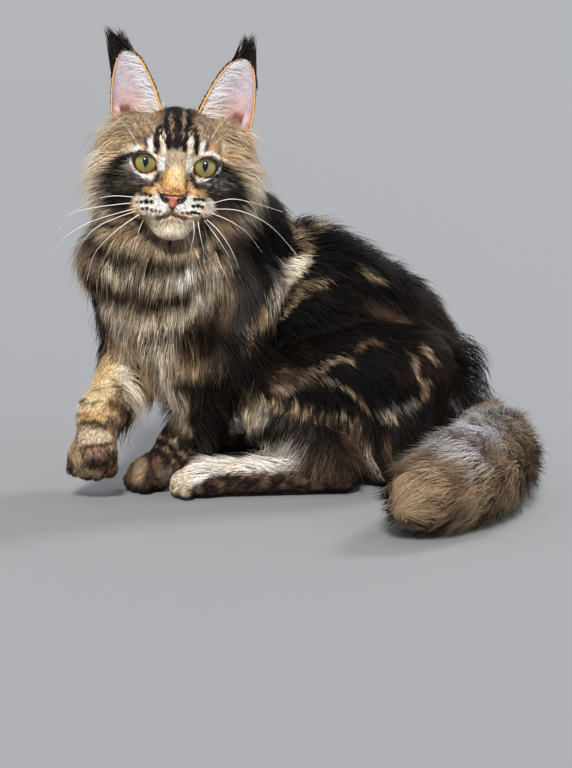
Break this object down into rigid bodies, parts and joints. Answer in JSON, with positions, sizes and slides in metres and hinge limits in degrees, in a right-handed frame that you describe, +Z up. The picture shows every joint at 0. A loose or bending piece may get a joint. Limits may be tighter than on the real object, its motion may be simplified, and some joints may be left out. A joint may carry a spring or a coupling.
{
  "type": "maine coon cat",
  "caption": "Life-size long-haired tabby cat sitting on its haunches with a forepaw raised, head up and bushy tail laid along the floor.",
  "frame": {"origin": "on the floor, under the middle of the cat's bounding box", "axes": "+Z up; +X along the body from the chest to the rump; -Y the way the face looks, which is the camera's side"},
  "size_m": [0.3768, 0.443, 0.3607],
  "materials": {
    "coat": "long soft fur, brown classic tabby: black bands on golden brown, buff and cream",
    "ear": "thin skin with short fur outside and pale pink inside under long pale hairs",
    "eye": "wet and clear, green-gold iris with a dark upright pupil",
    "nose_leather": "moist fine-pebbled brick red skin with a dark rim"
  },
  "bodies": {
    "root": {"eye_right": "eye", "eye_left": "eye", "head": "coat", "nose": "nose_leather", "ear_right": "ear", "ear_left": "ear", "torso": "coat", "chest": "coat", "neck": "coat", "foreleg_left": "coat", "foreleg_right": "coat", "thigh_right": "coat", "foot_right": "coat", "thigh_left": "coat", "foot_left": "coat", "tail_root": "coat", "tail_middle": "coat", "tail_tip": "coat"}
  },
  "joints": []
}
